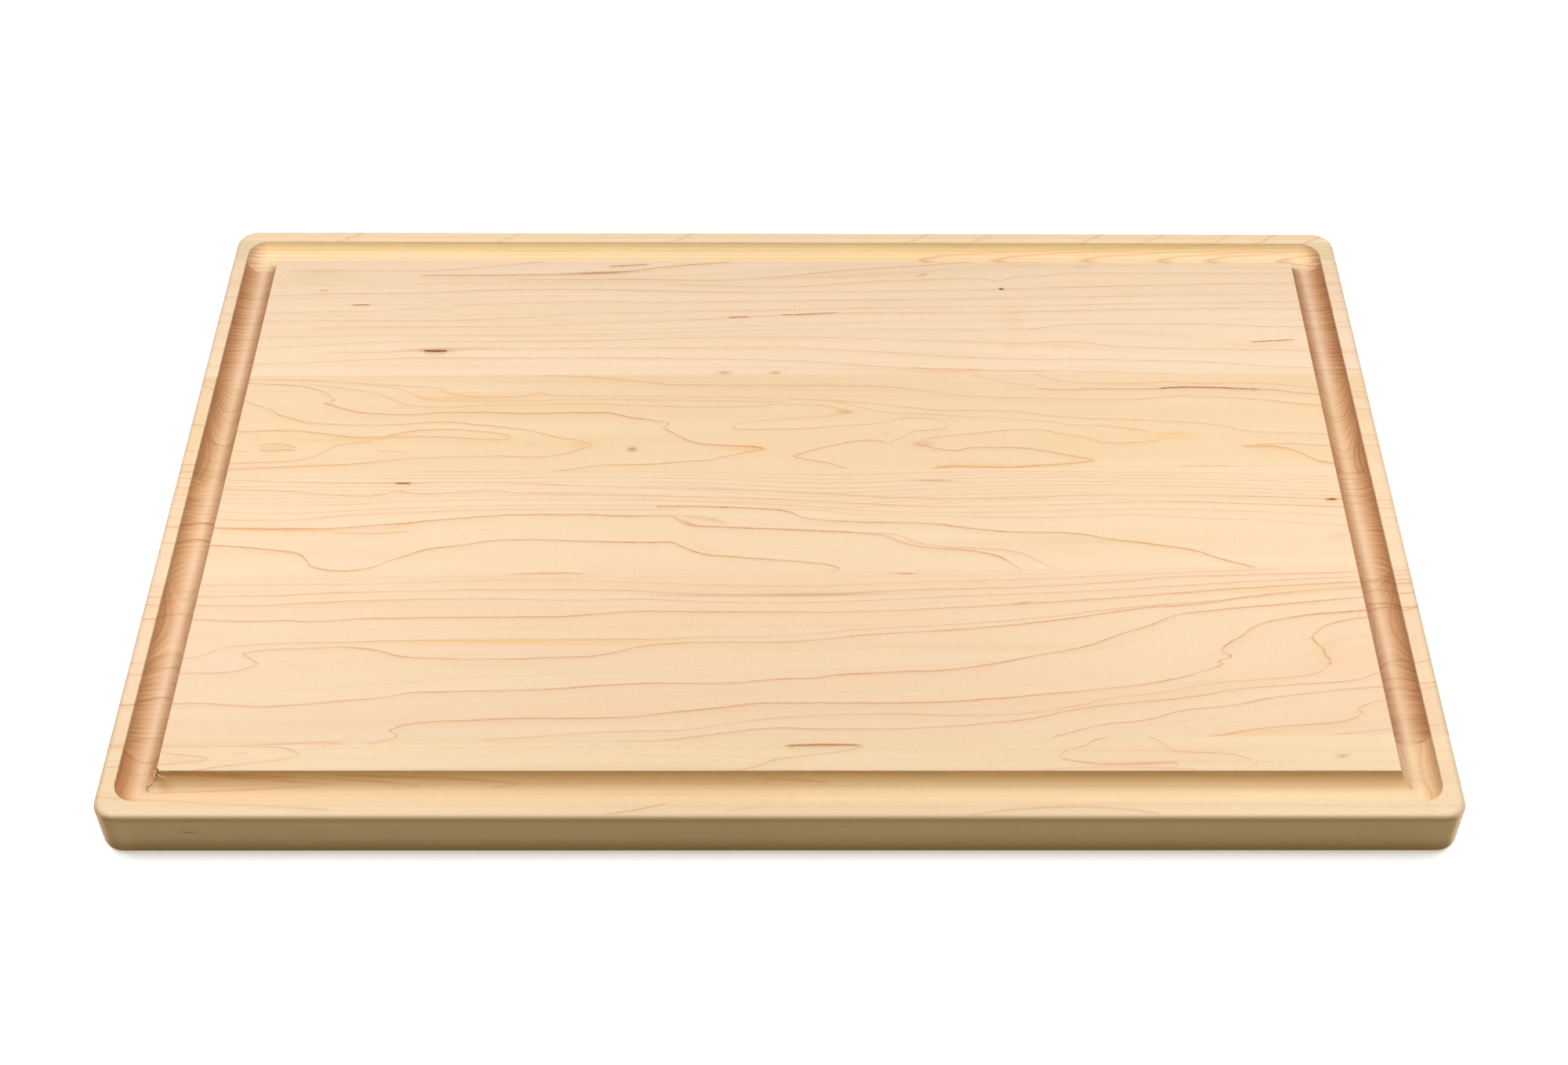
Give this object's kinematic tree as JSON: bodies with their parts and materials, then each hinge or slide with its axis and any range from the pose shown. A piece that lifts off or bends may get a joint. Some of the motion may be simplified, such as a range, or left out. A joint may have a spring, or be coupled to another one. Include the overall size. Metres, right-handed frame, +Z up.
{
  "type": "cutting board",
  "caption": "Edge-glued maple cutting board with a half-round juice groove round its top and eased edges.",
  "frame": {"origin": "centre of the underside, on the surface that the board lies on", "axes": "+X along the grain and the long side, +Y towards the back long edge, +Z up out of the grooved face"},
  "size_m": [0.4572, 0.3048, 0.0191],
  "materials": {
    "maple_1": "sanded and oiled maple, satin",
    "maple_2": "sanded and oiled maple, satin",
    "maple_3": "sanded and oiled maple, satin",
    "maple_4": "sanded and oiled maple, satin",
    "maple_5": "sanded and oiled maple, satin",
    "maple_6": "sanded and oiled maple, satin",
    "wood_glue": "dried wood glue, sanded flush"
  },
  "bodies": {
    "root": {"stave_1": "maple_1", "stave_2": "maple_2", "stave_3": "maple_3", "stave_4": "maple_4", "stave_5": "maple_5", "stave_6": "maple_6", "glue_line_1": "wood_glue", "glue_line_2": "wood_glue", "glue_line_3": "wood_glue", "glue_line_4": "wood_glue", "glue_line_5": "wood_glue"}
  },
  "joints": []
}
